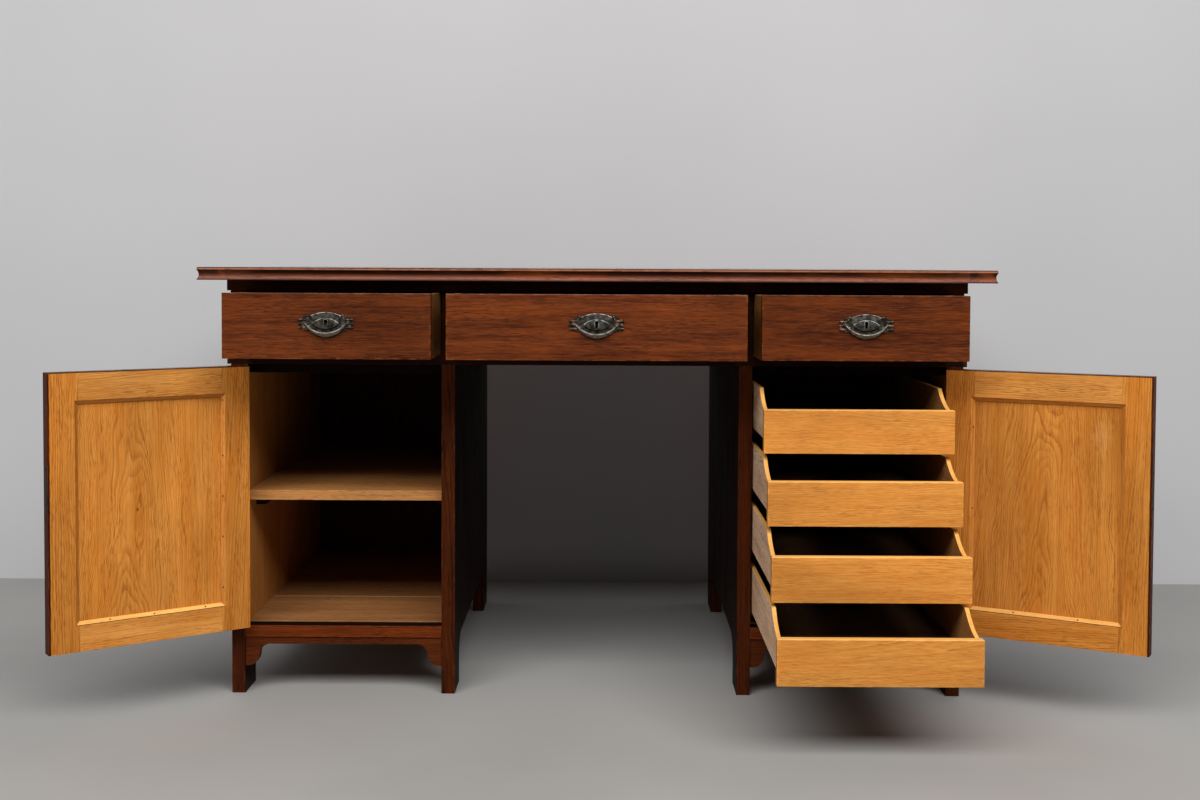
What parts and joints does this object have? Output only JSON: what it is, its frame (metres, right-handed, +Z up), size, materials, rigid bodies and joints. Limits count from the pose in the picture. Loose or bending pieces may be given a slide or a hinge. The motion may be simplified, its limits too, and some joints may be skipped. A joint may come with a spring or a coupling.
{
  "type": "pedestal desk",
  "caption": "Oak kneehole pedestal desk with a moulded top, frieze drawers with cupped metal pulls, framed cupboard doors, an inner shelf and sliding inner trays.",
  "frame": {"origin": "bottom centre of the box round the whole desk as it stands, with doors, drawers and trays open", "axes": "+X to the right of a person facing the drawers, +Y towards the back, +Z up; drawers pull along -Y"},
  "size_m": [1.8784, 1.2016, 0.78],
  "materials": {
    "oak_dark": "waxed",
    "oak_case": "waxed",
    "oak_top": "waxed",
    "oak_front": "waxed",
    "oak_door": "waxed",
    "oak_pale": "bare",
    "bronze": "aged",
    "hinge_steel": "aged",
    "lock_brass": "aged"
  },
  "bodies": {
    "desk": {"top_panel": "oak_top", "top_cleats": "oak_top", "frieze_end_left": "oak_dark", "frieze_end_right": "oak_dark", "frieze_dividers": "oak_dark", "frieze_top_rail": "oak_dark", "frieze_bottom_rail": "oak_dark", "frieze_side_mouldings": "oak_dark", "frieze_back": "oak_pale", "drawer_runners": "oak_pale", "drawer_kickers": "oak_pale", "left_outer_side": "oak_case", "left_inner_side": "oak_case", "right_inner_side": "oak_case", "right_outer_side": "oak_case", "left_back_frame": "oak_pale", "right_back_frame": "oak_pale", "pedestal_back_panels": "oak_pale", "pedestal_top_boards": "oak_pale", "pedestal_floors": "oak_pale", "pedestal_front_rails": "oak_dark", "pedestal_aprons": "oak_dark", "left_shelf": "oak_pale", "left_shelf_battens": "oak_pale", "tray_runners": "oak_pale", "door_hinge_case_leaves": "hinge_steel"},
    "left_door": {"left_door_frame": "oak_door", "left_door_panel": "oak_door", "left_door_beads": "oak_pale", "left_door_hinge_leaves": "hinge_steel", "left_door_lock": "lock_brass"},
    "right_door": {"right_door_frame": "oak_door", "right_door_panel": "oak_door", "right_door_beads": "oak_pale", "right_door_hinge_leaves": "hinge_steel", "right_door_lock": "lock_brass"},
    "left_drawer": {"left_drawer_front": "oak_front", "left_drawer_box": "oak_pale", "left_drawer_handle": "bronze", "left_drawer_lock": "lock_brass"},
    "middle_drawer": {"middle_drawer_front": "oak_front", "middle_drawer_box": "oak_pale", "middle_drawer_handle": "bronze", "middle_drawer_lock": "lock_brass"},
    "right_drawer": {"right_drawer_front": "oak_front", "right_drawer_box": "oak_pale", "right_drawer_handle": "bronze", "right_drawer_lock": "lock_brass"},
    "tray_1": {"tray_1_front": "oak_pale", "tray_1_box": "oak_pale"},
    "tray_2": {"tray_2_front": "oak_pale", "tray_2_box": "oak_pale"},
    "tray_3": {"tray_3_front": "oak_pale", "tray_3_box": "oak_pale"},
    "tray_4": {"tray_4_front": "oak_pale", "tray_4_box": "oak_pale"}
  },
  "joints": [
    {"name": "left_door_hinge", "type": "hinge", "parent": "desk", "child": "left_door", "pos_m": [-0.65146, -0.20815, 0.3645], "axis": [0, 0, -1], "range_deg": [-144.3, 35]},
    {"name": "right_door_hinge", "type": "hinge", "parent": "desk", "child": "right_door", "pos_m": [0.63004, -0.20815, 0.3645], "axis": [0, 0, 1], "range_deg": [-58, 28]},
    {"name": "left_drawer_slide", "type": "slide", "parent": "desk", "child": "left_drawer", "axis": [0, -1, 0], "range_m": [-0.166, 0.314]},
    {"name": "middle_drawer_slide", "type": "slide", "parent": "desk", "child": "middle_drawer", "axis": [0, -1, 0], "range_m": [-0.173, 0.307]},
    {"name": "right_drawer_slide", "type": "slide", "parent": "desk", "child": "right_drawer", "axis": [0, -1, 0], "range_m": [-0.151, 0.329]},
    {"name": "tray_1_slide", "type": "slide", "parent": "desk", "child": "tray_1", "axis": [0, -1, 0], "range_m": [-0.204, 0.276]},
    {"name": "tray_2_slide", "type": "slide", "parent": "desk", "child": "tray_2", "axis": [0, -1, 0], "range_m": [-0.271, 0.209]},
    {"name": "tray_3_slide", "type": "slide", "parent": "desk", "child": "tray_3", "axis": [0, -1, 0], "range_m": [-0.337, 0.143]},
    {"name": "tray_4_slide", "type": "slide", "parent": "desk", "child": "tray_4", "axis": [0, -1, 0], "range_m": [-0.422, 0.058]}
  ]
}
